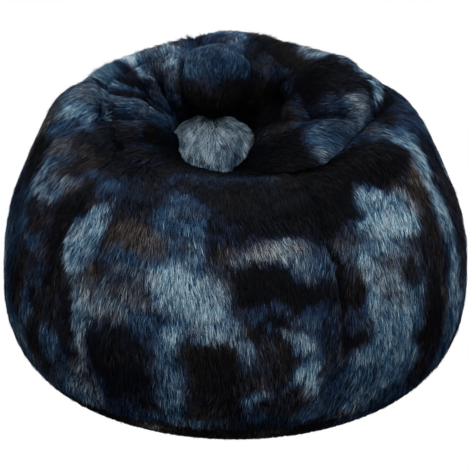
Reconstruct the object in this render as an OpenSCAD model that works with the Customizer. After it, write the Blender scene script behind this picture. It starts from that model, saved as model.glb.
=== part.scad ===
// Fur bean bag chair: a round bag of six fur gores, sat into a hollow that faces forward.
// Its cover holds a base panel, a round cap, a zip along the base seam, a liner and beads.
// +Z is up, the front faces -Y, and the origin is on the floor under the middle of the bag.
// Angles called "th" are azimuths in degrees: 0 is the front and 90 is the +X side.

/* [Overall] */
// Width and depth of the bag at its widest
overall_w = 950; // [900:10:1000]
// Height of the ridge at the back
overall_h = 700; // [660:10:720]
// Height of the widest level
belly_z = 240; // [230:5:250]
// Radius of the flat patch that rests on the floor
floor_r = 205; // [190:5:240]

/* [Seat hollow] */
// Height of the front lip of the seat
lip_z = 525; // [510:5:540]
// Height of the shoulders on both sides of the seat
shoulder_z = 640; // [600:5:650]
// How far the middle of the cap is to the left of the middle of the bag
cap_left = 45; // [20:5:60]
// How far the middle of the cap is behind the middle of the bag
cap_back = 20; // [0:5:40]
// Height of the middle of the cap
cap_z = 480; // [465:5:495]
// Radius of the cap at its seam
cap_r = 70; // [60:2:80]
// How steeply the cap faces forward, in degrees
cap_tilt = 50; // [40:5:60]
// How far the cap swells out of its seam
cap_dome = 22; // [10:2:30]

/* [Fabric] */
// Thickness of the fur fabric, backing and pressed pile together
fur_t = 14; // [10:1:16]
// Space between two fur panels at their seam
seam_gap = 8; // [6:1:10]
// Thickness of the seam tapes behind the fur
tape_t = 3; // [2:0.5:4]
// Azimuth of the seam to the left of the front panel
first_seam = -35; // [-40:1:-30]
// Thickness of the liner fabric
liner_t = 2; // [1:0.5:2.5]
// Depth of the liner's outer face below the fur
liner_depth = 20; // [19:1:22]
// Depth of the beads below the fur
bead_depth = 26; // [25:1:30]

/* [Zips] */
// Height of the base seam and its zips
seam_z = 95; // [85:5:105]
// Width of the strip between the gores and the base panel
strip_w = 24; // [22:1:28]
// Azimuth of the middle of both zips
zip_mid = 175; // [165:5:195]
// Arc of the cover's zip
cover_zip_arc = 70; // [50:5:90]
// Arc of the liner's zip
liner_zip_arc = 60; // [40:5:80]
// Space between the two coils, where the slider's web runs
coil_gap = 1.6; // [1.4:0.1:2]
// Width of one coil
coil_w = 2.4; // [2:0.1:3]
// Thickness of one coil
coil_t = 2.4; // [2:0.1:3]
// Thickness of a zip's cloth tape
zip_tape_t = 0.8; // [0.6:0.1:1]
// Thickness of each slider plate
slider_t = 1.2; // [1:0.1:1.5]
// Running clearance of the slider on every side
slider_clear = 0.3; // [0.2:0.05:0.4]
// Arc that the slider covers
slider_arc = 1.7; // [1.2:0.1:2.5]

/* [Care label] */
// Azimuth of the care label
label_th = 228; // [215:1:250]
// Arc that the care label covers
label_arc = 5; // [3:1:7]
// Length of the care label below the seam
label_len = 38; // [25:1:40]

/* [Hidden] */

$fn = 144;
belly_r = overall_w / 2;
foot_bulge = belly_r - floor_r;
gore_arc = 60;
gore_cols = 10;
liner_arc = 90;
liner_cols = 14;
bead_cols = 40;
rows = 20;
foot_steps = 8;
cap_lean = 30;
stop_arc = 0.8;
stop_gap = 0.3;
sliver = 0.4;
seam_clear = 2.3;
cover_clear = 2.6;
liner_clear = 6;

fur_blue = "#4d6c86";
fur_navy = "#1d2740";
fur_brown = "#2a2426";
fur_pale = "#7f9fb0";
liner_white = "#e6e4de";
tape_black = "#16171b";
coil_grey = "#2c2f35";
metal_grey = "#8a8d92";
bead_white = "#f4f4f0";

// ---- Shape of the bag ----

function unit(v) = v / norm(v);

// A value that goes from front to side to back around the bag
function around(th, front, side, back) =
    let (c = cos(th))
    side + (c > 0 ? (front - side) * c * c : (back - side) * c * c);

// The quarter ellipse under the belly, from 90 degrees at the floor to 0 at the belly
function foot(a, depth = 0) =
    [floor_r + foot_bulge * cos(a), belly_z * (1 - sin(a))]
    - depth * unit([cos(a) / foot_bulge, -sin(a) / belly_z]);

seam_a = asin(1 - seam_z / belly_z);
strip_a = strip_w / 2 / norm([foot_bulge * sin(seam_a), belly_z * cos(seam_a)]) * 180 / PI;

// The seam ring of the cap lies in a plane that faces forward and up
cap_mid = [-cap_left, cap_back, cap_z];
cap_facing = [0, -sin(cap_tilt), cos(cap_tilt)];
function cap_spoke(th) = [sin(th), -cos(th) * cos(cap_tilt), -cos(th) * sin(cap_tilt)];
function cap_edge_dir(th) = cap_facing * cos(cap_lean) - cap_spoke(th) * sin(cap_lean);

// A point of a meridian, its centre moved part of the way to the cap
function spot(th, r, z, moved = 0) =
    [-cap_left * moved + r * sin(th), cap_back * moved - r * cos(th), z];

function foot_spot(th, a) = spot(th, foot(a)[0], foot(a)[1]);

// A meridian from the base seam over the ridge to the cap, with one guide point at each end
function meridian(th) =
    let (
        dip = spot(th, around(th, 140, 165, 50), around(th, 470, 550, 630), 0.8),
        rim = cap_mid + cap_r * cap_spoke(th)
    )
    [
        foot_spot(th, seam_a + 3 * strip_a),
        foot_spot(th, seam_a - strip_a),
        spot(th, belly_r, belly_z),
        spot(th, around(th, 412, 432, 385), around(th, 420, 455, 510)),
        spot(th, around(th, 262, 262, 135), around(th, lip_z, shoulder_z, overall_h), 0.3),
        dip,
        rim,
        2 * rim - dip
    ];

// A centripetal Catmull-Rom curve through p, between points i + 1 and i + 2
function curve(p, i, u) =
    let (
        t1 = sqrt(norm(p[i + 1] - p[i])),
        t2 = t1 + sqrt(norm(p[i + 2] - p[i + 1])),
        t3 = t2 + sqrt(norm(p[i + 3] - p[i + 2])),
        t = t1 + (t2 - t1) * u,
        a1 = (p[i] * (t1 - t) + p[i + 1] * t) / t1,
        a2 = (p[i + 1] * (t2 - t) + p[i + 2] * (t - t1)) / (t2 - t1),
        a3 = (p[i + 2] * (t3 - t) + p[i + 3] * (t - t2)) / (t3 - t2),
        b1 = (a1 * (t2 - t) + a2 * t) / t2,
        b2 = (a2 * (t3 - t) + a3 * (t - t1)) / (t3 - t1)
    )
    (b1 * (t2 - t) + b2 * (t - t1)) / (t2 - t1);

// The outer face of the fur: t runs from 0 at the base seam to 1 at the cap
function skin(th, t) =
    let (
        p = meridian(th),
        spans = len(p) - 3,
        i = min(floor(t * spans), spans - 1)
    )
    curve(p, i, t * spans - i);

function facing(th, t) =
    let (
        up = skin(th, min(t + 0.01, 1)) - skin(th, max(t - 0.01, 0)),
        along = skin(th + 1, t) - skin(th - 1, t),
        to_cap = max(t - 0.85, 0) / 0.15
    )
    unit(unit(cross(along, up)) * (1 - to_cap) + cap_edge_dir(th) * to_cap);

function layer(th, t, depth) = skin(th, t) - depth * facing(th, t);

// The azimuth that lies a distance to the side of a seam, at the level t
function beside(th, t, side) =
    th + side / (norm(skin(th + 1, t) - skin(th - 1, t)) / 2);

// ---- Building blocks ----

// A curved sheet between two azimuths, between two depths under the outer face
module sheet(th0, th1, margin, outer, inner, cols) {
    per_row = cols + 1;
    per_face = per_row * (rows + 1);
    points = [
        for (depth = [outer, inner]) for (j = [0 : rows]) for (i = [0 : cols])
            let (
                t = j / rows,
                from = beside(th0, t, margin),
                to = beside(th1, t, -margin)
            )
            layer(from + (to - from) * i / cols, t, depth)
    ];
    rim = concat(
        [for (i = [0 : cols]) i],
        [for (j = [1 : rows]) j * per_row + cols],
        [for (i = [cols - 1 : -1 : 0]) rows * per_row + i],
        [for (j = [rows - 1 : -1 : 1]) j * per_row]
    );
    faces = concat(
        [
            for (j = [0 : rows - 1]) for (i = [0 : cols - 1]) for (half = [0, 1])
                let (a = j * per_row + i, b = a + 1, c = b + per_row, d = a + per_row)
                half == 0 ? [a, c, b] : [a, d, c]
        ],
        [
            for (j = [0 : rows - 1]) for (i = [0 : cols - 1]) for (half = [0, 1])
                let (a = per_face + j * per_row + i, b = a + 1, c = b + per_row, d = a + per_row)
                half == 0 ? [a, b, c] : [a, c, d]
        ],
        [
            for (k = [0 : len(rim) - 1]) for (half = [0, 1])
                let (a = rim[k], b = rim[(k + 1) % len(rim)], c = b + per_face, d = a + per_face)
                half == 0 ? [a, b, c] : [a, c, d]
        ]
    );
    polyhedron(points, faces);
}

module fur_gore(number) {
    start = first_seam + number * gore_arc;
    sheet(start, start + gore_arc, seam_gap / 2, 0, fur_t, gore_cols);
}

module liner_gore(middle) {
    sheet(middle - liner_arc / 2, middle + liner_arc / 2, sliver,
        liner_depth, liner_depth + liner_t, liner_cols);
}

// A bowl that closes the bottom, between two depths under the outer face
module bowl(outer, inner) {
    top_a = seam_a + strip_a;
    rotate_extrude()
        polygon(concat(
            [[0, outer]],
            [for (k = [0 : foot_steps]) foot(90 + (top_a - 90) * k / foot_steps, outer)],
            [for (k = [foot_steps : -1 : 0]) foot(90 + (top_a - 90) * k / foot_steps, inner)],
            [[0, inner]]
        ));
}

// Places a round piece in the plane of the cap's seam
module on_cap() {
    translate(cap_mid) rotate([cap_tilt, 0, 0]) rotate_extrude() children();
}

// Radius of the hole that the gores leave, at a depth below the cap's plane
function hole_r(depth) = cap_r + depth * tan(cap_lean);

// Turns a section in the plane of the base seam around the bag.
// In the section x points out of the fur, and y runs up along it.
module along_seam(from, to) {
    lean = atan2(foot_bulge * sin(seam_a), belly_z * cos(seam_a));
    rotate([0, 0, from - 90]) rotate_extrude(angle = to - from)
        translate(foot(seam_a)) rotate(-lean) children();
}

module block(x0, x1, y0, y1) {
    translate([x0, y0]) square([x1 - x0, y1 - y0]);
}

// ---- Zip pieces, for a zip whose middle lies at a depth under the fur ----

module zip_tape(depth, arc, side, clear) {
    inner = coil_gap / 2 + coil_w;
    along_seam(zip_mid - arc / 2, zip_mid + arc / 2)
        mirror([0, side < 0 ? 1 : 0])
            block(-depth - zip_tape_t / 2, -depth + zip_tape_t / 2, inner, strip_w / 2 - clear);
}

module zip_coil(depth, arc, side) {
    along_seam(zip_mid - arc / 2 + stop_arc, zip_mid + arc / 2 - stop_arc)
        mirror([0, side < 0 ? 1 : 0])
            block(-depth - coil_t / 2, -depth + coil_t / 2,
                coil_gap / 2, coil_gap / 2 + coil_w);
}

module zip_stop(depth, from) {
    reach = coil_gap / 2 + coil_w;
    along_seam(from, from + stop_arc)
        block(-depth - coil_t / 2, -depth + coil_t / 2, -reach, reach);
}

// The slider's section: two plates with lips over the tapes, joined by a web between the coils
module slider_section() {
    web_y = coil_gap / 2 - slider_clear;
    lip_y = coil_gap / 2 + coil_w + slider_clear;
    edge_y = lip_y + slider_t;
    lip_x = zip_tape_t / 2 + slider_clear;
    plate_x = coil_t / 2 + slider_clear;
    face_x = plate_x + slider_t;
    quarter = [
        [plate_x, web_y], [plate_x, lip_y], [lip_x, lip_y], [lip_x, edge_y], [face_x, edge_y]
    ];
    back = [for (k = [len(quarter) - 1 : -1 : 0]) quarter[k]];
    polygon(concat(
        quarter,
        [for (p = back) [p[0], -p[1]]],
        [for (p = quarter) [-p[0], -p[1]]],
        [for (p = back) [-p[0], p[1]]]
    ));
}

module zip_slider(depth, arc) {
    from = zip_mid - arc / 2 + stop_arc + stop_gap;
    along_seam(from, from + slider_arc) translate([-depth, 0]) slider_section();
}

// The tape that joins gores and base where the zip doesn't
module ring_tape(depth, arc) {
    along_seam(zip_mid + arc / 2, zip_mid - arc / 2 + 360)
        block(-depth - tape_t / 2, -depth + tape_t / 2,
            -strip_w / 2 + cover_clear, strip_w / 2 - cover_clear);
}

cover_zip_depth = fur_t / 2;
liner_zip_depth = liner_depth + liner_t / 2;

// ---- Cover ----

module front_panel() { color(fur_blue) fur_gore(0); }
module front_right_panel() { color(fur_pale) fur_gore(1); }
module back_right_panel() { color(fur_navy) fur_gore(2); }
module back_panel() { color(fur_blue) fur_gore(3); }
module back_left_panel() { color(fur_brown) fur_gore(4); }
module front_left_panel() { color(fur_navy) fur_gore(5); }

module top_cap() {
    dome_steps = 6;
    rim_top = cap_r - seam_gap / 2;
    rim_low = hole_r(fur_t) - seam_gap / 2;
    color(fur_pale) on_cap()
        polygon(concat(
            [for (k = [0 : dome_steps]) let (u = k / dome_steps)
                [rim_top * u, cap_dome * (1 - u * u)]],
            [for (k = [dome_steps : -1 : 0]) let (u = k / dome_steps)
                [rim_low * u, cap_dome * (1 - u * u) - fur_t]]
        ));
}

module base_panel() { color(fur_navy) bowl(0, fur_t); }

module panel_seam_tapes() {
    top = fur_t - tape_t * 2;
    color(tape_black)
        for (k = [0 : 5]) let (seam = first_seam + k * gore_arc)
            seam_strip(seam, top, top + tape_t);
}

module seam_strip(seam, outer, inner) {
    half = seam_gap / 2 - seam_clear;
    per_face = 2 * (rows + 1);
    points = [
        for (depth = [outer, inner]) for (j = [0 : rows]) for (side = [-half, half])
            layer(beside(seam, j / rows, side), j / rows, depth)
    ];
    faces = concat(
        [[0, 1, per_face + 1], [0, per_face + 1, per_face]],
        [
            for (j = [0 : rows - 1]) for (f = [0 : 7])
                let (a = 2 * j, b = a + 1, c = a + 3, d = a + 2, n = per_face)
                [
                    [a, c, b], [a, d, c],
                    [a + n, b + n, c + n], [a + n, c + n, d + n],
                    [b, c, c + n], [b, c + n, b + n],
                    [d, a, a + n], [d, a + n, d + n]
                ][f]
        ],
        [
            [2 * rows + 1, 2 * rows, per_face + 2 * rows],
            [2 * rows + 1, per_face + 2 * rows, per_face + 2 * rows + 1]
        ]
    );
    polyhedron(points, faces);
}

module cap_seam_tape() {
    low = fur_t - tape_t;
    high = low - tape_t;
    color(tape_black) on_cap()
        polygon([
            [hole_r(high) - seam_gap / 2 + sliver, -high],
            [hole_r(high) - sliver, -high],
            [hole_r(low) - sliver, -low],
            [hole_r(low) - seam_gap / 2 + sliver, -low]
        ]);
}

module base_seam_tape() { color(tape_black) ring_tape(cover_zip_depth, cover_zip_arc); }

module cover_zip_upper_tape() { color(tape_black) zip_tape(cover_zip_depth, cover_zip_arc, 1, cover_clear); }
module cover_zip_lower_tape() { color(tape_black) zip_tape(cover_zip_depth, cover_zip_arc, -1, cover_clear); }
module cover_zip_upper_coil() { color(coil_grey) zip_coil(cover_zip_depth, cover_zip_arc, 1); }
module cover_zip_lower_coil() { color(coil_grey) zip_coil(cover_zip_depth, cover_zip_arc, -1); }
module cover_zip_slider() { color(metal_grey) zip_slider(cover_zip_depth, cover_zip_arc); }

module cover_zip_top_stop() {
    color(metal_grey) zip_stop(cover_zip_depth, zip_mid - cover_zip_arc / 2);
}

module cover_zip_bottom_stop() {
    color(metal_grey) zip_stop(cover_zip_depth, zip_mid + cover_zip_arc / 2 - stop_arc);
}

// The flap hangs from the upper edge and hides the zip
module zip_guard_flap() {
    flap_t = 1;
    flap_x = -cover_zip_depth + coil_t / 2 + slider_clear + slider_t + 1;
    color(tape_black)
        along_seam(zip_mid - cover_zip_arc / 2, zip_mid + cover_zip_arc / 2)
            block(flap_x, flap_x + flap_t, -strip_w / 2 + 3, strip_w / 2 - cover_clear);
}

// A blank woven label, its root in the seam and its face on the base panel
module care_label() {
    label_t = 0.6;
    root_x = -cover_zip_depth + tape_t / 2;
    color(liner_white)
        along_seam(label_th - label_arc / 2, label_th + label_arc / 2) {
            block(root_x, 1 + label_t, -label_t, 0);
            block(1, 1 + label_t, -label_len, 0);
        }
}

// ---- Liner and filling ----

module liner_front_panel() { color(liner_white) liner_gore(0); }
module liner_right_panel() { color(liner_white) liner_gore(90); }
module liner_back_panel() { color(liner_white) liner_gore(180); }
module liner_left_panel() { color(liner_white) liner_gore(270); }

module liner_top() {
    high = liner_depth * cos(cap_lean);
    low = (liner_depth + liner_t) * cos(cap_lean);
    color(liner_white) on_cap()
        polygon([
            [0, -high], [hole_r(high) - sliver, -high],
            [hole_r(low) - sliver, -low], [0, -low]
        ]);
}

module liner_base() { color(liner_white) bowl(liner_depth, liner_depth + liner_t); }

module liner_seam_tape() {
    color(liner_white)
        along_seam(zip_mid + liner_zip_arc / 2, zip_mid - liner_zip_arc / 2 + 360)
            block(-liner_depth - liner_t, -liner_depth,
                -strip_w / 2 + liner_clear, strip_w / 2 - liner_clear);
}

module liner_zip_upper_tape() { color(liner_white) zip_tape(liner_zip_depth, liner_zip_arc, 1, liner_clear); }
module liner_zip_lower_tape() { color(liner_white) zip_tape(liner_zip_depth, liner_zip_arc, -1, liner_clear); }
module liner_zip_upper_coil() { color(liner_white) zip_coil(liner_zip_depth, liner_zip_arc, 1); }
module liner_zip_lower_coil() { color(liner_white) zip_coil(liner_zip_depth, liner_zip_arc, -1); }
module liner_zip_slider() { color(metal_grey) zip_slider(liner_zip_depth, liner_zip_arc); }

module liner_zip_top_stop() {
    color(metal_grey) zip_stop(liner_zip_depth, zip_mid - liner_zip_arc / 2);
}

module liner_zip_bottom_stop() {
    color(metal_grey) zip_stop(liner_zip_depth, zip_mid + liner_zip_arc / 2 - stop_arc);
}

// The heap of beads fills the liner from the floor to the cap
module bead_filling() {
    rings = concat(
        [for (k = [0 : foot_steps - 1])
            let (f = foot(90 + (seam_a - strip_a - 90) * k / foot_steps, bead_depth))
            [for (i = [0 : bead_cols - 1]) spot(i * 360 / bead_cols, f[0], f[1])]],
        [for (j = [0 : rows])
            [for (i = [0 : bead_cols - 1]) layer(i * 360 / bead_cols, j / rows, bead_depth)]]
    );
    points = [for (ring = rings) for (p = ring) p];
    last = (len(rings) - 1) * bead_cols;
    faces = concat(
        [[for (i = [0 : bead_cols - 1]) i]],
        [
            for (j = [0 : len(rings) - 2]) for (i = [0 : bead_cols - 1]) for (half = [0, 1])
                let (
                    a = j * bead_cols + i,
                    b = j * bead_cols + (i + 1) % bead_cols,
                    c = b + bead_cols,
                    d = a + bead_cols
                )
                half == 0 ? [a, c, b] : [a, d, c]
        ],
        [[for (i = [bead_cols - 1 : -1 : 0]) last + i]]
    );
    color(bead_white) polyhedron(points, faces);
}

front_panel();
front_right_panel();
back_right_panel();
back_panel();
back_left_panel();
front_left_panel();
top_cap();
base_panel();
panel_seam_tapes();
cap_seam_tape();
base_seam_tape();
cover_zip_upper_tape();
cover_zip_lower_tape();
cover_zip_upper_coil();
cover_zip_lower_coil();
cover_zip_slider();
cover_zip_top_stop();
cover_zip_bottom_stop();
zip_guard_flap();
care_label();
liner_front_panel();
liner_right_panel();
liner_back_panel();
liner_left_panel();
liner_top();
liner_base();
liner_seam_tape();
liner_zip_upper_tape();
liner_zip_lower_tape();
liner_zip_upper_coil();
liner_zip_lower_coil();
liner_zip_slider();
liner_zip_top_stop();
liner_zip_bottom_stop();
bead_filling();
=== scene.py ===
"""Fur bean bag chair: six fur gores, a cap and a base panel over the CAD frame, in long combed faux fur.

The outer face of the bag is one formula of azimuth and level, as in the CAD source. Folds are added to
it, the fabric lies a pile's depth below it, and every hair is a mesh ribbon rooted in the fabric.
Azimuth 0 is the front (-Y) and 90 the +X side. Level 0 is the base seam and 1 the seam of the cap.
"""

import itertools
import math

import bpy
import numpy as np
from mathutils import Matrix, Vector


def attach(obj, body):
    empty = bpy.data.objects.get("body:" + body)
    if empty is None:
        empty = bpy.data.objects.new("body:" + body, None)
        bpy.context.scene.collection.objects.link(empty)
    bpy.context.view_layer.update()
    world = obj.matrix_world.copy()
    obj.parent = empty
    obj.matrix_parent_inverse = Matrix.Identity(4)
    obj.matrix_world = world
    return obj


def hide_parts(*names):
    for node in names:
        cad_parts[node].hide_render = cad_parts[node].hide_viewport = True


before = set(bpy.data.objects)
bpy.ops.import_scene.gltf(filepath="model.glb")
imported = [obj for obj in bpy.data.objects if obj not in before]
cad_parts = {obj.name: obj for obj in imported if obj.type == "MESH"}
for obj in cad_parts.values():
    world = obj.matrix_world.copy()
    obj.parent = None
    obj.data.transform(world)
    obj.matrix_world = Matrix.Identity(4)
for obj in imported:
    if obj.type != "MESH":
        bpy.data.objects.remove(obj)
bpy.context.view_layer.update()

# ---- Sizes, in metres and degrees ----

# The outer face, as in the CAD source
BELLY_R = 0.475
BELLY_Z = 0.240
FLOOR_R = 0.205
SEAM_Z = 0.095
LIP_Z = 0.525
SHOULDER_Z = 0.640
TOP_Z = 0.700
CAP_LEFT = 0.045
CAP_BACK = 0.020
CAP_Z = 0.480
CAP_R = 0.070
CAP_TILT = 50.0
FIRST_SEAM = -35.0
GORE_ARC = 60.0
ZIP_MID = 175.0
ZIP_ARC = 70.0

# What only the visual model has
SAG = 0.016
ZIP_LIFT = 0.011
GROOVE_DEPTH = 0.007
GROOVE_WIDTH = 0.010
CAP_PUFF = 0.050
CAP_RISE = 0.012
CAP_OVERHANG = 0.021
PILE_DEPTH = 0.010
HAIR_LENGTH = 0.024
HAIR_WIDTH = 0.0010
HAIR_FLOOR = 0.0015
LOCK_SIZE = 0.007
TUFT_SIZE = 0.040

# Layers under the fur, from the fabric inwards: depths, gaps and thicknesses
FABRIC_T = 0.004
TAPE_DEPTH = 0.0045
TAPE_T = 0.0015
LINER_GAP = 0.003
LINER_T = 0.002
BEAD_GAP = 0.006

# Pieces, grids and counts
GORES = ("front_panel", "front_right_panel", "back_right_panel",
         "back_panel", "back_left_panel", "front_left_panel")
COLUMNS = 720
PER_DEGREE = COLUMNS / 360.0
ROWS = 300
SKIN_STEP = 3
HALF_GORE_HAIRS = 56000
CAP_HAIRS = 20000
BASE_HAIRS = 60000
ATLAS_SIDE = 256


# ---- Small maths ----

def unit(v):
    """Vectors scaled to length 1."""
    return v / np.maximum(np.linalg.norm(v, axis=-1, keepdims=True), 1e-9)


def smooth(x, low, high):
    """0 up to low, 1 from high on, and an S-curve between."""
    u = np.clip((x - low) / (high - low), 0, 1)
    return u * u * (3 - 2 * u)


def lattice(cells, salt):
    """A repeatable number from 0 to 1 for each whole-number cell."""
    c = cells.astype(np.int64)
    h = (c[..., 0] * 73856093) ^ (c[..., 1] * 19349663) ^ (c[..., 2] * 83492791) ^ (salt * 2654435761)
    h = (h ^ (h >> 13)) * 1274126177
    h = h ^ (h >> 16)
    return (h & 0xFFFFFF) / float(0xFFFFFF)


def noise(points, size, salt):
    """Smooth value noise from -1 to 1."""
    cell = points / size + 31.7 * (salt + 1)
    low = np.floor(cell)
    f = cell - low
    f = f * f * (3 - 2 * f)
    total = np.zeros(points.shape[:-1])
    for corner in itertools.product((0, 1), repeat=3):
        weight = np.prod(np.where(np.array(corner) == 1, f, 1 - f), axis=-1)
        total += weight * lattice(low + np.array(corner), salt)
    return total * 2 - 1


# ---- The bag's shape ----

def around(th, front, side, back):
    """A value that goes from its front to its side to its back setting with the azimuth."""
    c = np.cos(np.radians(th))
    return side + np.where(c > 0, (front - side) * c * c, (back - side) * c * c)


def from_zip(th):
    """Degrees from the middle of the zip."""
    return np.abs((th - ZIP_MID + 180) % 360 - 180)


def zip_zone(th):
    """1 along the zip's arc and 0 elsewhere."""
    return smooth(ZIP_ARC / 2 + 2 - from_zip(th), 0, 2)


def sag(th):
    """How far the flank hangs out past the CAD's curve. It doesn't near the zip."""
    return SAG * smooth(from_zip(th), ZIP_ARC / 2, 75)


def foot(a, th):
    """The curve under the belly: radius and height, from 90 degrees at the floor to 0."""
    a = np.radians(a)
    radius = FLOOR_R + (BELLY_R - FLOOR_R) * np.cos(a) ** 0.88
    return radius + sag(th) * np.sin(2 * a), BELLY_Z * (1 - np.sin(a))


SEAM_A = math.degrees(math.asin(1 - SEAM_Z / BELLY_Z))


def spot(th, r, z, moved=0.0):
    """The point at an azimuth, radius and height. The axis leans to the cap by the share moved."""
    s, c = np.sin(np.radians(th)), np.cos(np.radians(th))
    r, z = r + 0 * th, z + 0 * th
    return np.stack([-CAP_LEFT * moved + r * s, CAP_BACK * moved - r * c, z], -1)


def cap_spoke(th):
    """The direction from the middle of the cap to its rim."""
    s, c = np.sin(np.radians(th)), np.cos(np.radians(th))
    ct, st = math.cos(math.radians(CAP_TILT)), math.sin(math.radians(CAP_TILT))
    return np.stack([s, -c * ct, -c * st], -1)


CAP_MID = np.array([-CAP_LEFT, CAP_BACK, CAP_Z])
CAP_FACING = np.array([0, -math.sin(math.radians(CAP_TILT)), math.cos(math.radians(CAP_TILT))])


def meridian(th):
    """Guide points from the base seam over the ridge to the cap, with one more at each end."""
    below = spot(th, *foot(SEAM_A + 10, th))
    base_seam = spot(th, *foot(SEAM_A, th))
    belly = spot(th, BELLY_R, BELLY_Z)
    flank = spot(th, around(th, 0.412, 0.432, 0.385), around(th, 0.420, 0.455, 0.510))
    ridge = spot(th, around(th, 0.262, 0.262, 0.135), around(th, LIP_Z, SHOULDER_Z, TOP_Z), 0.3)
    dip = spot(th, around(th, 0.140, 0.165, 0.050), around(th, 0.470, 0.550, 0.630), 0.8)
    rim = CAP_MID + CAP_R * cap_spoke(th)
    return np.stack([below, base_seam, belly, flank, ridge, dip, rim, 2 * rim - dip])


def curve(p0, p1, p2, p3, u):
    """A centripetal Catmull-Rom curve between p1 and p2."""
    def root(v):
        return np.sqrt(np.linalg.norm(v, axis=-1, keepdims=True))
    t1 = root(p1 - p0)
    t2 = t1 + root(p2 - p1)
    t3 = t2 + root(p3 - p2)
    t = t1 + (t2 - t1) * u
    a1 = (p0 * (t1 - t) + p1 * t) / t1
    a2 = (p1 * (t2 - t) + p2 * (t - t1)) / (t2 - t1)
    a3 = (p2 * (t3 - t) + p3 * (t - t2)) / (t3 - t2)
    b1 = (a1 * (t2 - t) + a2 * t) / t2
    b2 = (a2 * (t3 - t) + a3 * (t - t1)) / (t3 - t1)
    return (b1 * (t2 - t) + b2 * (t - t1)) / (t2 - t1)


def outer_face(th, level):
    """The bag's smooth outer face, for equal lists of azimuths and levels."""
    points = meridian(th)
    spans = len(points) - 3
    s = np.clip(level * spans, 0, spans - 1e-9)
    i = s.astype(int)
    k = np.arange(len(th))
    return curve(points[i, k], points[i + 1, k], points[i + 2, k], points[i + 3, k], (s - i)[:, None])


def grid_normals(p):
    """Outward normals of a grid of points, rows up the bag and columns around it."""
    along = np.roll(p, -1, axis=1) - np.roll(p, 1, axis=1)
    up = np.gradient(p, axis=0)
    return unit(np.cross(along, up))


# Creases and rolls: a path of (azimuth, level) places, then height and half width in metres.
CREASES = (
    (((158, 0.57), (148, 1.0)), 0.060, 0.022),
    (((205, 0.57), (216, 1.0)), 0.055, 0.020),
    (((236, 0.64), (236, 1.0)), 0.044, 0.014),
    (((256, 0.62), (255, 1.0)), 0.046, 0.013),
    (((274, 0.60), (271, 1.0)), 0.046, 0.013),
    (((292, 0.58), (290, 1.0)), 0.048, 0.014),
    (((312, 0.57), (308, 0.97)), 0.042, 0.015),
    (((120, 0.70), (122, 1.0)), 0.040, 0.016),
    (((100, 0.51), (84, 0.54), (62, 0.57), (40, 0.59), (20, 0.72)), 0.055, 0.024),
    (((60, 0.57), (84, 0.96)), 0.044, 0.018),
    (((300, 0.46), (310, 0.54), (330, 0.60)), 0.018, 0.016),
    (((25, 0.14), (25, 0.36), (25, 0.58)), 0.012, 0.005),
    (((-48, 0.16), (-48, 0.34), (-50, 0.50)), 0.008, 0.005),
)
ROLLS = (
    (((181, 0.70), (181, 0.82), (181, 0.95)), 0.066, 0.090),
    (((262, 0.53), (288, 0.50)), 0.020, 0.080),
    (((72, 0.47), (104, 0.52)), 0.013, 0.080),
    (((96, 0.64), (112, 0.80)), 0.050, 0.060),
    (((134, 0.70), (134, 0.94)), 0.060, 0.036),
    (((225, 0.68), (226, 0.92)), 0.056, 0.036),
    (((246, 0.68), (246, 0.92)), 0.050, 0.034),
    (((265, 0.68), (264, 0.92)), 0.046, 0.034),
    (((284, 0.68), (282, 0.92)), 0.042, 0.034),
    (((304, 0.68), (302, 0.92)), 0.036, 0.036),
    (((80, 0.76), (80, 0.94)), 0.040, 0.040),
    (((30, 0.54), (52, 0.51), (70, 0.46)), 0.014, 0.045),
    (((286, 0.60), (305, 0.60), (328, 0.60)), -0.030, 0.080),
    (((24, 0.60), (40, 0.60), (54, 0.59)), -0.020, 0.060),
)


def along_line(points, path):
    """Distance of each point from a path drawn on the bag, and how far along the path it is."""
    s = np.linspace(0, 1, 25)
    stops = np.linspace(0, 1, len(path))
    line = outer_face(*(np.interp(s, stops, column) for column in np.array(path, float).T))
    best = np.full(points.shape[:-1], 1e9)
    where = np.zeros(points.shape[:-1])
    for k in range(len(s) - 1):
        a, ab = line[k], line[k + 1] - line[k]
        u = np.clip(((points - a) @ ab) / (ab @ ab), 0, 1)
        d = np.linalg.norm(points - a - u[..., None] * ab, axis=-1)
        near = d < best
        best[near] = d[near]
        where[near] = (s[k] + u * (s[k + 1] - s[k]))[near]
    return best, where


FILL = 0.026
FOLDS_MEET = 0.22
DEEP_CREASE = 0.035


def add_folds(points, normals, level):
    """Moves the grid along its normals. Folds get smaller towards the cap, where they meet.

    Returns the grid and how much each of its points lies in the shade of a crease, an amount that is
    painted into the fur's colour as painted shade.
    """
    from_cap = np.linalg.norm(points[..., :2] - CAP_MID[:2], axis=-1)
    narrow = np.clip(from_cap / FOLDS_MEET, 0.30, 1.0)
    shift = FILL * smooth(level, 0.60, 0.78)
    for path, height, width in ROLLS:
        best, where = along_line(points, path)
        taper = smooth(where, -0.1, 0.3) * smooth(1.1 - where, 0, 0.3)
        shift += height * taper * np.exp(-(best / (width * np.sqrt(narrow))) ** 2)
    dark = np.zeros(points.shape[:-1])
    for path, height, width in CREASES:
        best, where = along_line(points, path)
        taper = smooth(where, 0.0, 0.3)
        profile = taper * np.exp(-np.sqrt((best / (width * narrow)) ** 2 + 0.04)) * 1.2
        shift -= height * np.clip(narrow * 1.3, 0, 1) * profile
        dark = np.maximum(dark, profile * min(1, height / DEEP_CREASE))
    shift *= smooth(1 - level, 0.0, 0.07)
    return points + normals * shift[..., None], dark


def seam_grooves(points, th, level):
    """How far the seams between the gores and round the base pull the fabric in."""
    seam = (th - FIRST_SEAM) % GORE_ARC
    side = np.minimum(seam, GORE_ARC - seam)
    degree = np.linalg.norm(np.roll(points, -1, axis=1) - points, axis=-1) * COLUMNS / 360.0
    gore = np.exp(-(side * degree / GROOVE_WIDTH) ** 2) * GROOVE_DEPTH
    return gore + np.exp(-(level / 0.03) ** 2) * GROOVE_DEPTH


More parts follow.
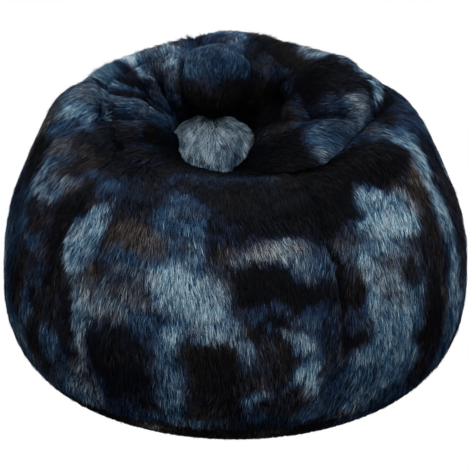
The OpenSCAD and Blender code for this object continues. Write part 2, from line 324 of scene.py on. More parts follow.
def bag_grid():
    """The fabric's outer face as a grid, folds included: its points and normals.

    Also the smooth face's normals, along which the layers under the fabric lie, and the creases' painted
    shade.
    """
    th, level = np.meshgrid(np.arange(COLUMNS) * 360.0 / COLUMNS, np.linspace(0, 1, ROWS + 1))
    points = outer_face(th.ravel(), level.ravel()).reshape(ROWS + 1, COLUMNS, 3)
    normals = grid_normals(points)
    to_cap = smooth(level, 0.85, 1.0)[..., None]
    rim_dir = CAP_FACING * math.cos(math.radians(30)) - cap_spoke(th) * math.sin(math.radians(30))
    points = points - PILE_DEPTH * unit(normals * (1 - to_cap) + rim_dir * to_cap)
    points, dark = add_folds(points, normals, level)
    slump = noise(points, 0.16, 5) * 0.006 + noise(points, 0.07, 6) * 0.003
    points = points + normals * (slump * smooth(level, 0.0, 0.15) * smooth(1 - level, 0, 0.1))[..., None]
    points = points - normals * seam_grooves(points, th, level)[..., None]
    lift = ZIP_LIFT * zip_zone(th) * (1 - smooth(level, 0, 0.10))
    points[..., 2] += lift
    return points, grid_normals(points), normals, dark


# ---- Materials ----

def colour(hex_code):
    """A hex colour as Blender's linear values."""
    parts = [int(hex_code[i:i + 2], 16) / 255 for i in (1, 3, 5)]
    linear = [p / 12.92 if p <= 0.04045 else ((p + 0.055) / 1.055) ** 2.4 for p in parts]
    return (*linear, 1.0)


def new_material(name, roughness):
    mat = bpy.data.materials.new(name)
    mat.use_nodes = True
    shader = mat.node_tree.nodes["Principled BSDF"]
    shader.inputs["Roughness"].default_value = roughness
    return mat, mat.node_tree.nodes, mat.node_tree.links, shader


def ramp(nodes, stops):
    node = nodes.new("ShaderNodeValToRGB")
    elements = node.color_ramp.elements
    while len(elements) < len(stops):
        elements.new(0.5)
    for element, (position, hex_code) in zip(elements, stops):
        element.position = position
        element.color = colour(hex_code)
    return node


def attribute(nodes, name):
    node = nodes.new("ShaderNodeAttribute")
    node.attribute_name = name
    return node


# The fur's colours along the tone. Their pale ends run up to near-white: partly the pale fur's own
# colour and partly painted sheen on it.
COOL = ((0.0, "#010103"), (0.25, "#060a14"), (0.45, "#1a2f4c"), (0.65, "#3f6079"), (0.82, "#7898a8"),
        (1.0, "#cbdfe5"))
WARM = ((0.0, "#010101"), (0.25, "#0d0a0a"), (0.45, "#322b28"), (0.65, "#5c5552"), (0.82, "#949190"),
        (1.0, "#c8cbcc"))


def tint(nodes, links, tone, target):
    """The fur's colour at a tone, between the cool and the warm ramp by the stored warmth."""
    cool, warm = ramp(nodes, COOL), ramp(nodes, WARM)
    links.new(tone, cool.inputs["Fac"])
    links.new(tone, warm.inputs["Fac"])
    both = nodes.new("ShaderNodeMix")
    both.data_type = "RGBA"
    links.new(attribute(nodes, "warmth").outputs["Fac"], both.inputs["Factor"])
    links.new(cool.outputs["Color"], both.inputs["A"])
    links.new(warm.outputs["Color"], both.inputs["B"])
    links.new(both.outputs["Result"], target)


def fur_material():
    mat, nodes, links, shader = new_material("long_fur", 0.65)
    tint(nodes, links, attribute(nodes, "tone").outputs["Fac"], shader.inputs["Base Color"])
    shader.inputs["Specular IOR Level"].default_value = 0.06
    return mat


def undercoat_material():
    """The backing between the hairs: speckled, and darker than they are."""
    mat, nodes, links, shader = new_material("fur_backing", 0.95)
    coords = nodes.new("ShaderNodeTexCoord")
    speckle = nodes.new("ShaderNodeTexNoise")
    speckle.inputs["Scale"].default_value = 260.0
    speckle.inputs["Detail"].default_value = 4.0
    links.new(coords.outputs["Object"], speckle.inputs["Vector"])
    scaled = nodes.new("ShaderNodeMath")
    scaled.operation = "MULTIPLY"
    links.new(attribute(nodes, "tone").outputs["Fac"], scaled.inputs[0])
    links.new(speckle.outputs["Fac"], scaled.inputs[1])
    tint(nodes, links, scaled.outputs["Value"], shader.inputs["Base Color"])
    return mat


def cloth_material(name, hex_code, roughness, scale):
    """Plain woven cloth or moulded plastic with a fine grain."""
    mat, nodes, links, shader = new_material(name, roughness)
    coords = nodes.new("ShaderNodeTexCoord")
    grain = nodes.new("ShaderNodeTexNoise")
    grain.inputs["Scale"].default_value = scale
    links.new(coords.outputs["Object"], grain.inputs["Vector"])
    dark = tuple(int(int(hex_code[i:i + 2], 16) * 0.78) for i in (1, 3, 5))
    shades = ramp(nodes, ((0.35, "#%02x%02x%02x" % dark), (0.65, hex_code)))
    links.new(grain.outputs["Fac"], shades.inputs["Fac"])
    links.new(shades.outputs["Color"], shader.inputs["Base Color"])
    bump = nodes.new("ShaderNodeBump")
    bump.inputs["Strength"].default_value = 0.3
    bump.inputs["Distance"].default_value = 0.0005
    links.new(grain.outputs["Fac"], bump.inputs["Height"])
    links.new(bump.outputs["Normal"], shader.inputs["Normal"])
    return mat


# ---- Mesh building ----

def build_mesh(name, vertices, faces, corners, material):
    """A mesh from arrays: faces holds the number of corners of each face, corners their vertices."""
    mesh = bpy.data.meshes.new(name)
    mesh.vertices.add(len(vertices))
    mesh.vertices.foreach_set("co", vertices.astype(np.float32).ravel())
    mesh.loops.add(len(corners))
    mesh.loops.foreach_set("vertex_index", corners.astype(np.int32))
    mesh.polygons.add(len(faces))
    starts = np.concatenate([[0], np.cumsum(faces)[:-1]])
    mesh.polygons.foreach_set("loop_start", starts.astype(np.int32))
    mesh.polygons.foreach_set("loop_total", faces.astype(np.int32))
    mesh.polygons.foreach_set("use_smooth", np.ones(len(faces), bool))
    mesh.update(calc_edges=True)
    mesh.materials.append(material)
    obj = bpy.data.objects.new(name, mesh)
    bpy.context.scene.collection.objects.link(obj)
    return obj


def closed_sheet(name, outer, inner, material):
    """A closed shell between two equal grids of points."""
    rows, cols = outer.shape[:2]
    index = np.arange(rows * cols).reshape(rows, cols)
    a, b = index[:-1, :-1], index[:-1, 1:]
    d, c = index[1:, :-1], index[1:, 1:]
    front = np.stack([a, b, c, d], -1).reshape(-1, 4)
    back = np.stack([a, d, c, b], -1).reshape(-1, 4) + rows * cols
    rim = np.concatenate([index[0], index[1:, -1], index[-1, -2::-1], index[-2:0:-1, 0]])
    after = np.roll(rim, -1)
    side = np.stack([rim, rim + rows * cols, after + rows * cols, after], -1)
    corners = np.concatenate([front, back, side])
    vertices = np.concatenate([outer.reshape(-1, 3), inner.reshape(-1, 3)])
    return build_mesh(name, vertices, np.full(len(corners), 4), corners.ravel(), material)


def nearest_lock(points, size, salt):
    """For each point, the middle of the lock of hair it belongs to and that lock's number."""
    cell = np.floor(points / size)
    best = np.full(len(points), 1e9)
    middle = np.zeros_like(points)
    number = np.zeros(len(points))
    for step in itertools.product((-1, 0, 1), repeat=3):
        near = cell + np.array(step)
        jitter = np.stack([lattice(near, salt + k) for k in range(3)], -1)
        place = (near + jitter) * size
        d = np.linalg.norm(points - place, axis=-1)
        win = d < best
        best[win] = d[win]
        middle[win] = place[win]
        number[win] = lattice(near, salt + 7)[win]
    return middle, number


def flat_on(vectors, normals):
    """What is left of vectors without their part along the normals."""
    return vectors - normals * np.sum(vectors * normals, -1, keepdims=True)


def paint(piece, tone, warmth):
    """Stores the fur's tone and warmth at each vertex."""
    for name, values in (("tone", tone), ("warmth", warmth)):
        layer = piece.data.attributes.new(name, "FLOAT", "POINT")
        layer.data.foreach_set("value", values.astype(np.float32).ravel())


def lay_out_ribbons(piece, count):
    """A UV map with a cell for each ribbon, so that its colours can be baked."""
    cell = np.arange(count)
    origin = np.stack([cell % ATLAS_SIDE, cell // ATLAS_SIDE], -1)[:, None, :]
    quad = [[0.2, 0.1], [0.8, 0.1], [0.8, 0.5], [0.2, 0.5]]
    tip = [[0.2, 0.5], [0.8, 0.5], [0.5, 0.9]]
    places = (origin + np.array(quad + tip)) / ATLAS_SIDE
    layer = piece.data.uv_layers.new(name="OFBake")
    layer.data.foreach_set("uv", places.astype(np.float32).ravel())


def comb(roots, normals, down, lengths, rng):
    """Bends hairs down over the fabric and draws them into locks and tufts.

    Returns each hair's middle and tip, the way its lower half points, and its lock's number.
    """
    n = len(roots)
    tuft, tuft_no = nearest_lock(roots, TUFT_SIZE, 40)
    lock, lock_no = nearest_lock(roots, LOCK_SIZE, 20)
    sway = unit(np.cross(down, normals))
    drift = noise(roots, 0.11, 11) * 0.45 + (tuft_no - 0.5) * 0.25 + (lock_no - 0.5) * 0.22
    drift = drift + rng.normal(0, 0.12, n)
    lean = unit(down + sway * drift[:, None])
    rise = 0.34 + (lock_no - 0.5) * 0.12 + rng.normal(0, 0.07, n)
    length = HAIR_LENGTH * lengths * (0.86 + 0.28 * lock_no + rng.normal(0, 0.07, n))
    first = unit(lean + normals * (rise + 0.22)[:, None])
    second = unit(lean + normals * (rise - 0.42)[:, None])
    off_lock = flat_on(roots - lock, normals)
    off_tuft = flat_on(roots - tuft, normals)
    middle = roots + first * (length * 0.45)[:, None] - off_lock * 0.10 - off_tuft * 0.02
    tip = middle + second * (length * 0.55)[:, None] - off_lock * 0.14 - off_tuft * 0.03
    middle[:, 2] = np.maximum(middle[:, 2], HAIR_FLOOR + 0.0025)
    tip[:, 2] = np.maximum(tip[:, 2], HAIR_FLOOR)
    return middle, tip, first, lock_no


def hairs(name, roots, normals, down, tone, warmth, lengths, rng, material):
    """Fur as ribbons, each a quad with a tip, darker at the root."""
    n = len(roots)
    middle, tip, first, lock_no = comb(roots, normals, down, lengths, rng)
    roll = rng.normal(0, 0.5, n)[:, None]
    across = unit(np.cross(first, normals))
    across = unit(across * np.cos(roll) + np.cross(across, first) * np.sin(roll))
    half = (HAIR_WIDTH * (0.7 + 0.6 * rng.random(n)) / 2)[:, None]
    vertices = np.stack([roots - across * half, roots + across * half,
                         middle - across * half * 0.85, middle + across * half * 0.85, tip], 1)
    base = np.arange(n)[:, None] * 5
    corners = np.concatenate([base + np.array([[0, 1, 3, 2]]), base + np.array([[2, 3, 4]])], 1)
    piece = build_mesh(name, vertices.reshape(-1, 3), np.tile([4, 3], n), corners.ravel(), material)
    spread = (lock_no - 0.5) * 0.16 + rng.normal(0, 0.16, n)
    shade = np.clip(tone + spread * (0.3 + tone), 0.01, 1)[:, None]
    root_to_tip = np.array([[0.30, 0.30, 0.85, 0.85, 1.10]])
    paint(piece, np.clip(shade * root_to_tip, 0, 1), np.repeat(np.clip(warmth, 0, 1), 5))
    lay_out_ribbons(piece, n)
    return piece


# ---- The fur's pattern ----

# Soft patches of the fur's print, and a few of painted light and shade, marked where they stand: azimuth
# and level of the middle, half width and half height in metres, tone from 0 (black) to 1 (pale), and
# warmth from 0 (blue) to 1 (brown).
PATCHES = (
    # broad areas of the front
    (-28, 0.42, 0.085, 0.060, 0.44, 0.9), (-26, 0.20, 0.080, 0.085, 0.24, 0.3),
    (-55, 0.40, 0.060, 0.080, 0.30, 0.7), (-52, 0.20, 0.060, 0.080, 0.28, 0.7),
    (5, 0.40, 0.090, 0.050, 0.46, 0.7), (-5, 0.20, 0.055, 0.070, 0.28, 0.7),
    (14, 0.20, 0.060, 0.070, 0.34, 0.5), (36, 0.30, 0.070, 0.130, 0.72, 0.1),
    (55, 0.38, 0.045, 0.070, 0.32, 0.8), (50, 0.22, 0.034, 0.120, 0.16, 0.6),
    (-18, 0.33, 0.040, 0.080, 0.52, 0.2),
    # under the lip
    (-4, 0.54, 0.22, 0.030, 0.13, 0.2), (10, 0.49, 0.085, 0.034, 0.06, 0.2),
    (-30, 0.50, 0.060, 0.022, 0.24, 0.2), (-14, 0.49, 0.036, 0.030, 0.50, 0.0),
    (31, 0.49, 0.040, 0.040, 0.05, 0.3), (-2, 0.46, 0.020, 0.020, 0.30, 0.1),
    # left
    (-40, 0.44, 0.022, 0.034, 0.72, 0.0), (-40, 0.38, 0.020, 0.060, 0.84, 0.0),
    (-48, 0.41, 0.014, 0.070, 0.16, 0.5), (-59, 0.44, 0.030, 0.010, 0.78, 0.3),
    (-62, 0.36, 0.040, 0.012, 0.42, 0.0), (-58, 0.24, 0.010, 0.050, 0.50, 0.0),
    (-48, 0.18, 0.018, 0.030, 0.56, 0.0), (-53, 0.30, 0.024, 0.030, 0.36, 0.2),
    (-32, 0.30, 0.040, 0.028, 0.70, 0.6), (-38, 0.25, 0.020, 0.040, 0.66, 0.1),
    (-36, 0.13, 0.024, 0.050, 0.76, 0.3), (-42, 0.26, 0.014, 0.060, 0.20, 0.5),
    (-27, 0.395, 0.055, 0.012, 0.46, 0.0), (-19, 0.30, 0.034, 0.018, 0.46, 0.0),
    (-26, 0.35, 0.034, 0.020, 0.56, 0.6), (-27, 0.20, 0.050, 0.045, 0.16, 0.5),
    # middle
    (-13, 0.42, 0.020, 0.030, 0.62, 0.1), (-16, 0.37, 0.026, 0.030, 0.84, 0.1),
    (-11, 0.35, 0.030, 0.026, 0.92, 0.0), (-6, 0.31, 0.028, 0.028, 0.86, 0.0),
    (-1, 0.28, 0.022, 0.024, 0.78, 0.2), (1, 0.24, 0.016, 0.024, 0.70, 0.1),
    (-14, 0.26, 0.018, 0.045, 0.72, 0.0), (-14, 0.15, 0.018, 0.060, 0.58, 0.0),
    (-4, 0.19, 0.034, 0.034, 0.18, 0.8), (-3, 0.43, 0.030, 0.014, 0.26, 0.9),
    (2, 0.41, 0.020, 0.012, 0.30, 0.9), (8, 0.425, 0.070, 0.024, 0.66, 0.6),
    (5, 0.36, 0.034, 0.030, 0.03, 0.4), (14, 0.345, 0.060, 0.018, 0.05, 0.3),
    (13, 0.38, 0.018, 0.016, 0.10, 0.1), (10, 0.31, 0.050, 0.012, 0.40, 0.2),
    (18, 0.40, 0.030, 0.018, 0.56, 0.3), (17, 0.31, 0.026, 0.008, 0.46, 0.1),
    # lower middle
    (9, 0.285, 0.020, 0.014, 0.10, 0.2), (12, 0.282, 0.024, 0.006, 0.88, 0.1),
    (14, 0.26, 0.018, 0.008, 0.80, 0.1), (17, 0.225, 0.014, 0.016, 0.52, 0.0),
    (16, 0.18, 0.022, 0.020, 0.92, 0.0), (6, 0.14, 0.018, 0.026, 0.64, 0.0),
    (10, 0.12, 0.026, 0.016, 0.24, 0.7), (27, 0.13, 0.050, 0.018, 0.52, 0.0),
    (21, 0.08, 0.060, 0.012, 0.50, 0.1), (0, 0.06, 0.060, 0.010, 0.26, 0.4),
    (-12, 0.06, 0.060, 0.012, 0.56, 0.0), (8, 0.22, 0.030, 0.026, 0.34, 0.8),
    # right of the seam
    (28, 0.41, 0.022, 0.026, 0.50, 0.5), (28, 0.34, 0.026, 0.026, 0.20, 0.8),
    (28, 0.25, 0.024, 0.014, 0.08, 0.4), (27, 0.29, 0.024, 0.014, 0.40, 0.2),
    (38, 0.43, 0.022, 0.016, 0.94, 0.0), (43, 0.47, 0.036, 0.030, 0.90, 0.0),
    (48, 0.43, 0.034, 0.026, 0.92, 0.0), (40, 0.40, 0.026, 0.022, 0.96, 0.0),
    (35, 0.33, 0.016, 0.060, 0.82, 0.1), (42, 0.34, 0.050, 0.034, 0.68, 0.4),
    (46, 0.28, 0.024, 0.030, 0.64, 0.1), (46, 0.33, 0.016, 0.014, 0.26, 0.7),
    (36, 0.20, 0.040, 0.060, 0.62, 0.1), (42, 0.15, 0.034, 0.030, 0.66, 0.0),
    # right edge
    (64, 0.47, 0.012, 0.050, 0.82, 0.0), (64, 0.41, 0.010, 0.050, 0.80, 0.0),
    (66, 0.34, 0.010, 0.060, 0.74, 0.0), (64, 0.26, 0.014, 0.050, 0.70, 0.0),
    (66, 0.16, 0.012, 0.070, 0.60, 0.0), (74, 0.36, 0.030, 0.110, 0.28, 0.6),
    # top right
    (36, 0.55, 0.070, 0.030, 0.03, 0.3), (52, 0.50, 0.050, 0.030, 0.04, 0.3),
    (69, 0.51, 0.030, 0.022, 0.72, 0.0), (66, 0.49, 0.014, 0.030, 0.84, 0.0),
    (86, 0.50, 0.030, 0.030, 0.44, 0.1), (82, 0.55, 0.040, 0.020, 0.10, 0.3),
    (101, 0.70, 0.060, 0.050, 0.05, 0.3), (80, 0.62, 0.050, 0.034, 0.10, 0.3),
    (66, 0.62, 0.050, 0.030, 0.70, 0.4), (48, 0.63, 0.034, 0.018, 0.84, 0.4),
    (60, 0.68, 0.050, 0.020, 0.50, 0.1), (36, 0.70, 0.040, 0.030, 0.04, 0.3),
    (114, 0.625, 0.030, 0.012, 0.74, 0.2), (127, 0.65, 0.036, 0.014, 0.66, 0.2),
    (92, 0.575, 0.034, 0.010, 0.95, 0.0), (104, 0.60, 0.030, 0.010, 0.78, 0.1),
    (132, 0.70, 0.030, 0.034, 0.12, 0.8), (126, 0.80, 0.014, 0.040, 0.46, 0.0),
    (108, 0.88, 0.040, 0.050, 0.06, 0.5), (142, 0.78, 0.016, 0.060, 0.06, 0.2),
    # upper bulge
    (176, 0.74, 0.070, 0.060, 0.38, 0.0), (156, 0.76, 0.014, 0.070, 0.62, 0.0),
    (180, 0.62, 0.034, 0.012, 0.62, 0.0), (170, 0.90, 0.080, 0.036, 0.14, 0.9),
    # left pleats: partly print and partly painted light. The thin pale strips on the pleats' crests are
    # painted highlights, the thin dark strips in the folds between them painted shade, and the area's
    # tones are lifted as painted light, since little lamp light reaches it.
    (258, 0.72, 0.120, 0.100, 0.48, 0.1),
    (222, 0.63, 0.030, 0.016, 0.30, 0.8), (226, 0.69, 0.020, 0.020, 0.74, 0.0),
    (240, 0.62, 0.060, 0.010, 0.86, 0.1), (232, 0.80, 0.024, 0.070, 0.46, 0.5),
    # Painted highlights on the crests at 246, 266 and 283 degrees; painted shade in the folds at 252 and
    # 272 degrees.
    (246, 0.74, 0.006, 0.090, 0.84, 0.3), (252, 0.76, 0.012, 0.080, 0.22, 0.0),
    (262, 0.66, 0.020, 0.040, 0.60, 0.0), (266, 0.78, 0.006, 0.070, 0.74, 0.1),
    (272, 0.76, 0.012, 0.060, 0.26, 0.1), (283, 0.74, 0.008, 0.070, 0.66, 0.1),
    (290, 0.56, 0.030, 0.012, 0.84, 0.0), (284, 0.60, 0.040, 0.026, 0.54, 0.2),
    (290, 0.66, 0.050, 0.010, 0.66, 0.0), (304, 0.68, 0.050, 0.012, 0.20, 0.2),
    (308, 0.74, 0.040, 0.008, 0.56, 0.1), (322, 0.64, 0.040, 0.008, 0.50, 0.1),
    (288, 0.50, 0.014, 0.050, 0.44, 0.0), (308, 0.56, 0.050, 0.014, 0.16, 0.3),
    (316, 0.50, 0.036, 0.012, 0.46, 0.0), (303, 0.46, 0.030, 0.010, 0.66, 0.4),
    (285, 0.46, 0.030, 0.030, 0.16, 0.6), (330, 0.58, 0.050, 0.020, 0.14, 0.1),
    # the seam on the right of the front, and the one on the left
    (25, 0.35, 0.001, 0.120, 0.02, 0.4), (-48, 0.40, 0.001, 0.090, 0.06, 0.4),
    # the front's inner wall, near-black as painted shade in the hollow
    (0, 0.80, 0.14, 0.10, 0.05, 0.2),
)
SOFT_EDGE = 0.004


def grid_place(azimuth, level):
    """The point of the bag's outer face at one azimuth and level."""
    return outer_face(np.array([azimuth], float), np.array([level], float))[0]


def draw_print_and_painted_light(points, tone, warmth):
    """Draws the patches, print and painted light and shade alike, into the tone and warmth, with edges
    that wander.
    """
    warp = sum(np.stack([noise(points, size, salt + axis) for axis in range(3)], -1) * reach
               for size, reach, salt in ((0.050, 0.018, 51), (0.020, 0.009, 54), (0.008, 0.004, 57)))
    moved = points + warp
    for azimuth, level, half_width, half_height, patch_tone, patch_warmth in PATCHES:
        middle = grid_place(azimuth, level)
        sideways = grid_place(azimuth + 1, level) - grid_place(azimuth - 1, level)
        upwards = grid_place(azimuth, level + 0.01) - grid_place(azimuth, level - 0.01)
        wide, high = half_width + SOFT_EDGE, half_height + SOFT_EDGE
        some = np.flatnonzero(np.abs(moved - middle).max(-1) < 1.8 * max(wide, high, 0.05))
        off = moved[some] - middle
        across = off @ unit(sideways) / wide
        upright = off @ unit(upwards) / high
        lift = off @ unit(np.cross(sideways, upwards)) / 0.09
        near = smooth(1.75 - np.sqrt(across ** 2 + upright ** 2 + lift ** 2), 0.0, 1.1)
        tone[some] += (patch_tone - tone[some]) * near
        warmth[some] += (patch_warmth - warmth[some]) * near


def pattern(points, panel, dark=0.0):
    """Tone and warmth of the fur: cloudy blotches drawn out along the pile, patches, streaks, and
    painted shade in the creases.

    The blotches shift with the panel's number, so that they break at the seams.
    """
    stretched = points * np.array([1.0, 1.0, 0.62]) + panel * 3.1
    blotch = noise(stretched, 0.11, 2) * 0.8 + noise(stretched, 0.055, 3) * 0.5
    tone = 0.40 + 0.30 * blotch
    tone = tone + 0.25 * smooth(blotch, 0.35, 0.9)
    warmth = smooth(noise(stretched + 7.7, 0.13, 4) - tone * 0.7 + 0.34, 0.0, 0.35)
    draw_print_and_painted_light(points, tone, warmth)
    streaks = noise(points * np.array([1.0, 1.0, 0.35]), 0.004, 61) * 0.7
    streaks = streaks + noise(points, 0.020, 64) * 1.3 + noise(points, 0.045, 65)
    # Painted shade: the fur's tone is darkened where the creases' shade falls.
    tone = (0.05 + 0.86 * tone) * (1 + 0.16 * streaks) * (1 - 0.75 * np.clip(dark, 0, 1))
    warmth = warmth + 0.35 * noise(points, 0.024, 67)
    return np.clip(tone, 0.02, 0.97), np.clip(warmth, 0, 1)


def sample_grid(points, count, rng, keep):
    """Random places on a grid, spread by area over the cells to keep: row and column, with fractions."""
    p00, p01, p10 = points[:-1, :-1], points[:-1, 1:], points[1:, :-1]
    area = np.linalg.norm(np.cross(p01 - p00, p10 - p00), axis=-1) * keep
    share = np.cumsum(area.ravel())
    pick = np.searchsorted(share, (np.arange(count) + rng.random(count)) / count * share[-1])
    rows, cols = np.unravel_index(np.clip(pick, 0, area.size - 1), area.shape)
    return rows + rng.random(count), cols + rng.random(count)


def at(grid, row, col):
    """The grid's values between its rows and columns."""
    r, c = np.floor(row).astype(int), np.floor(col).astype(int)
    fr, fc = (row - r)[:, None], (col - c)[:, None]
    return (grid[r, c] * (1 - fr) * (1 - fc) + grid[r, c + 1] * (1 - fr) * fc
            + grid[r + 1, c] * fr * (1 - fc) + grid[r + 1, c + 1] * fr * fc)


# ---- Pieces ----

fur = fur_material()
undercoat = undercoat_material()
tape_cloth = cloth_material("seam_tape_cloth", "#0c0d11", 0.9, 900.0)
coil_plastic = cloth_material("zip_coil_plastic", "#2f3238", 0.45, 1400.0)
slider_metal = cloth_material("zip_slider_metal", "#8d9096", 0.35, 600.0)
liner_cloth = cloth_material("liner_cloth", "#e6e4de", 0.85, 700.0)
label_cloth = cloth_material("label_cloth", "#c9c7c0", 0.6, 1100.0)
bead_foam = cloth_material("bead_foam", "#f4f4f0", 0.7, 220.0)
bag, bag_normals, smooth_normals, painted_crease_shade = bag_grid()


def belongs(piece, slot, *nodes):
    """The piece rides on the bag and stands for the CAD nodes. The slot is not used."""
    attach(piece, "bag")
    if nodes:
        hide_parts(*nodes)


def arc_columns(start, end):
    """The grid's columns from one azimuth to another."""
    return np.arange(round(start * PER_DEGREE), round(end * PER_DEGREE) + 1) % COLUMNS


def fur_skin(name, outer, normals, panel, dark=0.0):
    """A panel's fabric, which stands for its CAD node."""
    piece = closed_sheet(name + "_skin", outer, outer - normals * FABRIC_T, undercoat)
    tone, warmth = pattern(outer.reshape(-1, 3), panel, np.ravel(dark))
    paint(piece, np.tile(tone, 2), np.tile(warmth, 2))
    belongs(piece, "fur", name)


def fur_coat(name, points, normals, down, panel, lengths, rng, dark=0.0):
    """The hairs on a panel's fabric."""
    tone, warmth = pattern(points, panel, dark)
    piece = hairs(name, points, normals, down, tone, warmth, lengths, rng, fur)
    belongs(piece, "fur")


def make_gore(number, name):
    """One gore: its fabric, and its hairs in a lower and an upper piece."""
    start = FIRST_SEAM + number * GORE_ARC
    cols = arc_columns(start, start + GORE_ARC)
    points, normals = bag[:, cols], bag_normals[:, cols]
    # The creases' painted shade, which darkens the fur's colour on this gore.
    shade = painted_crease_shade[:, cols][..., None]
    fur_skin(name, points[::SKIN_STEP, ::2], smooth_normals[::SKIN_STEP, cols[::2]], number,
             shade[::SKIN_STEP, ::2])
    rising = np.gradient(points, axis=0)
    for part, (low, high) in (("lower", (0, ROWS // 2)), ("upper", (ROWS // 2, ROWS))):
        rng = np.random.default_rng(100 + 10 * number + low)
        p, n, r = points[low:high + 1], normals[low:high + 1], rising[low:high + 1]
        keep = np.ones((high - low, len(cols) - 1))
        keep[:, [0, -1]] = 0
        row, col = sample_grid(p, HALF_GORE_HAIRS, rng, keep)
        level = (row + low) / ROWS
        near_zip = zip_zone(start + col / PER_DEGREE) * (1 - smooth(level, 0.0, 0.10))
        inside = smooth(level, 0.62, 0.72) * smooth(1 - level, 0.0, 0.02)
        lengths = 1 - 0.45 * near_zip - 0.25 * inside
        fur_coat(f"{name}_{part}_fur", at(p, row, col), unit(at(n, row, col)),
                 -unit(at(r, row, col)), number, lengths, rng,
                 at(shade[low:high + 1], row, col)[:, 0])


def make_cap():
    """The pillow in the hollow, where the gores meet."""
    rng = np.random.default_rng(200)
    th, u = np.meshgrid(np.arange(0, 361, 4.0), np.linspace(0.02, 1, 26))
    dome = CAP_PUFF * (1 - u ** 2.4)
    points = (CAP_MID + (CAP_R + CAP_OVERHANG) * u[..., None] * cap_spoke(th)
              + (dome - PILE_DEPTH + CAP_RISE)[..., None] * CAP_FACING)
    facing = np.broadcast_to(CAP_FACING, points.shape)
    fur_skin("top_cap", points[::-1], facing, 9)
    row, col = sample_grid(points, CAP_HAIRS, rng, np.ones((len(u) - 1, th.shape[1] - 1)))
    root = at(points, row, col)
    out = root - CAP_MID
    out = out - CAP_FACING * (out @ CAP_FACING)[:, None]
    normal = unit(CAP_FACING + out * (2 * CAP_PUFF / CAP_R ** 2))
    downhill = cap_spoke(np.array([0.0])) * 1.15 + out / CAP_R
    down = unit(flat_on(downhill, normal))
    tone = 0.75 + 0.16 * noise(root * np.array([1, 1, 0.5]), 0.012, 9)
    dark_spot = CAP_MID + np.array([0.040, -0.02, 0.0])
    from_spot = (root - dark_spot) / np.array([0.012, 0.05, 0.018])
    tone = tone - 0.45 * np.exp(-np.sum(from_spot ** 2, -1))
    coat = hairs("top_cap_fur", root, normal, down, tone, 0.25 + 0 * tone,
                 np.full(len(root), 0.9), rng, fur)
    belongs(coat, "fur")


def make_base():
    """The base panel: flat on the floor, then up the foot of the bag to the base seam.

    It ends a little below the zip. The rows on the floor have no hairs.
    """
    rng = np.random.default_rng(300)
    th, a = np.meshgrid(np.arange(0, 361, 1.0), np.linspace(90, SEAM_A, 40))
    a = a + 2.8 * zip_zone(th) * smooth(a, 60, SEAM_A)
    r, z = foot(a, th)
    ar = np.radians(a)
    slope = unit(np.stack([np.cos(ar) / (BELLY_R - FLOOR_R), -np.sin(ar) / BELLY_Z], -1))
    depth = PILE_DEPTH * smooth(90 - a, 0, 25) + 0.0015
    points = spot(th, r - slope[..., 0] * depth, z - slope[..., 1] * depth)
    normals = spot(th, slope[..., 0], slope[..., 1])
    flat = np.concatenate([points[:1] * [k, k, 1] for k in (0.02, 0.35, 0.7)])
    outer = np.concatenate([flat, points])
    facing = np.concatenate([np.tile([0.0, 0.0, -1.0], (3, th.shape[1], 1)), normals])
    fur_skin("base_panel", outer, facing, 8)
    keep = np.ones((len(a) - 1, th.shape[1] - 1))
    keep[:8] = 0
    row, col = sample_grid(points, BASE_HAIRS, rng, keep)
    down = -unit(at(np.gradient(points, axis=0), row, col))
    fur_coat("base_panel_fur", at(points, row, col), unit(at(normals, row, col)), down, 8,
             0.20 + 0.50 * smooth(row, 12, len(a) - 1), rng)


def make_inside():
    """The heap of beads and the liner's four gores follow the folded fabric from the inside.

    Low down they leave out its sag, to meet the liner's base.
    """
    th = np.arange(COLUMNS) * 360.0 / COLUMNS
    low = 1 - smooth(np.linspace(0, 1, ROWS + 1), 0, 0.12)
    drawn_in = low[:, None] * sag(th) * math.sin(2 * math.radians(SEAM_A))
    inner = bag - drawn_in[..., None] * spot(th, 1, 0)
    cols = np.append(np.arange(0, COLUMNS, 4), 0)
    p, n = inner[::SKIN_STEP, cols], smooth_normals[::SKIN_STEP, cols]
    side = p - n * (FABRIC_T + BEAD_GAP + LINER_T)
    floor = [side[:1] * [k, k, 0] + [0, 0, 0.03] for k in (0.01, 0.35, 0.70)]
    lid = [side[-1:] + (side[-1:].mean(axis=1, keepdims=True) - side[-1:]) * k for k in (0.5, 0.98)]
    shape = np.concatenate(floor + [side] + lid)
    core = shape * 0.4 + [0, 0, 0.06]
    heap = closed_sheet("bead_heap", shape, core, bead_foam)
    belongs(heap, "beads", "bead_filling")
    for name, middle in (("front", 0), ("right", 90), ("back", 180), ("left", 270)):
        cols = arc_columns(middle - 45, middle + 44.5)[::2]
        p, n = inner[::SKIN_STEP, cols], smooth_normals[::SKIN_STEP, cols]
        outer = p - n * (FABRIC_T + LINER_GAP)
        piece = closed_sheet(f"liner_{name}_cloth", outer, outer - n * LINER_T, liner_cloth)
        belongs(piece, "liner_cloth", f"liner_{name}_panel")


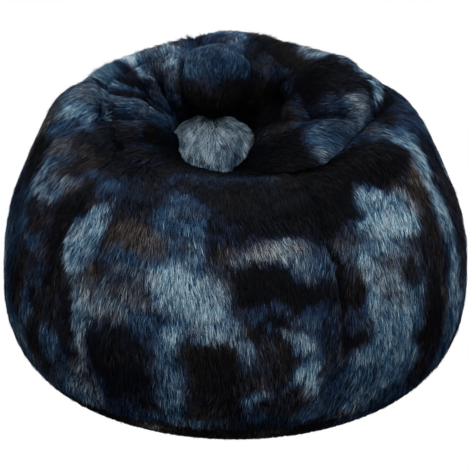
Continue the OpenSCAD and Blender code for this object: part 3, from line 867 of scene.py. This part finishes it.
def make_seams():
    """A tape behind each seam between the gores, and round the cap and the base."""
    for k in range(len(GORES)):
        seam = FIRST_SEAM + k * GORE_ARC
        cols = arc_columns(seam - 1, seam + 1)
        p, n = bag[::SKIN_STEP, cols], smooth_normals[::SKIN_STEP, cols]
        outer = p - n * TAPE_DEPTH
        piece = closed_sheet(f"seam_tape_{k}", outer, outer - n * TAPE_T, tape_cloth)
        belongs(piece, "seam_tape", "panel_seam_tapes")
    spokes = cap_spoke(np.arange(0, 361, 4.0))
    ring = np.stack([CAP_MID + (CAP_R + past) * spokes for past in (0.009, 0.004)])
    ring = ring - CAP_FACING * (PILE_DEPTH + 0.006)
    piece = closed_sheet("cap_tape", ring, ring - CAP_FACING * TAPE_T, tape_cloth)
    belongs(piece, "seam_tape", "cap_seam_tape")
    th = np.arange(ZIP_MID + ZIP_ARC / 2, ZIP_MID - ZIP_ARC / 2 + 361, 1.0)
    edges = [foot(SEAM_A + half_width, th) for half_width in (2.0, -2.0)]
    band = np.stack([spot(th, r - PILE_DEPTH - 0.005, z) for r, z in edges])
    piece = closed_sheet("base_tape", band, band - unit(band[0]) * TAPE_T, tape_cloth)
    belongs(piece, "seam_tape", "base_seam_tape")


def finish_cad_nodes():
    """The CAD pieces that stay get their own finish, by a word in their names."""
    looks = (("zip_upper_tape", tape_cloth), ("zip_lower_tape", tape_cloth), ("flap", tape_cloth),
             ("coil", coil_plastic), ("slider", slider_metal), ("stop", slider_metal),
             ("care_label", label_cloth), ("liner_top", liner_cloth), ("liner_base", liner_cloth),
             ("liner_seam", liner_cloth))
    for name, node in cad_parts.items():
        for word, material in looks:
            if word in name:
                node.data.materials.clear()
                node.data.materials.append(material)
                break


for number, name in enumerate(GORES):
    make_gore(number, name)
make_cap()
make_base()
make_inside()
make_seams()
finish_cad_nodes()


# ---- Stage, light and camera ----

def make_world():
    """A white backdrop; what lights the bag is dimmer, and darker below the floor's level."""
    world = bpy.data.worlds.new("studio")
    world.use_nodes = True
    nodes, links = world.node_tree.nodes, world.node_tree.links
    light = nodes["Background"]
    backdrop = nodes.new("ShaderNodeBackground")
    backdrop.inputs["Color"].default_value = (1, 1, 1, 1)
    place = nodes.new("ShaderNodeTexCoord")
    height = nodes.new("ShaderNodeSeparateXYZ")
    links.new(place.outputs["Generated"], height.inputs["Vector"])
    sky = nodes.new("ShaderNodeMapRange")
    sky.inputs["From Min"].default_value = -0.3
    sky.inputs["From Max"].default_value = 0.6
    sky.inputs["To Min"].default_value = 0.12
    sky.inputs["To Max"].default_value = 0.75
    links.new(height.outputs["Z"], sky.inputs["Value"])
    links.new(sky.outputs["Result"], light.inputs["Strength"])
    light.inputs["Color"].default_value = (0.92, 0.96, 1, 1)
    rays = nodes.new("ShaderNodeLightPath")
    choice = nodes.new("ShaderNodeMixShader")
    links.new(rays.outputs["Is Camera Ray"], choice.inputs["Fac"])
    links.new(light.outputs["Background"], choice.inputs[1])
    links.new(backdrop.outputs["Background"], choice.inputs[2])
    links.new(choice.outputs["Shader"], nodes["World Output"].inputs["Surface"])
    bpy.context.scene.world = world


def area_light(name, place, size, power):
    """A round lamp that faces the bag."""
    data = bpy.data.lights.new(name, "AREA")
    data.shape = "DISK"
    data.size = size
    data.energy = power
    lamp = bpy.data.objects.new(name, data)
    lamp.location = place
    lamp.rotation_euler = (Vector((0, 0, 0.3)) - Vector(place)).to_track_quat("-Z", "Y").to_euler()
    bpy.context.scene.collection.objects.link(lamp)


def make_camera():
    """The front view, seen from a little above."""
    elevation = math.radians(21)
    distance = 2.9
    target = Vector((0.0, 0.0, 0.312))
    data = bpy.data.cameras.new("camera")
    data.lens = 108.6
    data.sensor_width = 36
    camera = bpy.data.objects.new("camera", data)
    camera.location = target + Vector((0, -math.cos(elevation), math.sin(elevation))) * distance
    camera.rotation_euler = (target - camera.location).to_track_quat("-Z", "Y").to_euler()
    bpy.context.scene.collection.objects.link(camera)
    bpy.context.scene.camera = camera


make_world()
area_light("key", (1.2, -2.2, 2.6), 1.4, 75)
area_light("fill", (-2.4, -1.8, 1.8), 2.2, 24)
area_light("back", (-0.3, 1.2, 3.0), 1.8, 60)
bpy.context.scene.view_settings.view_transform = "Standard"
make_camera()
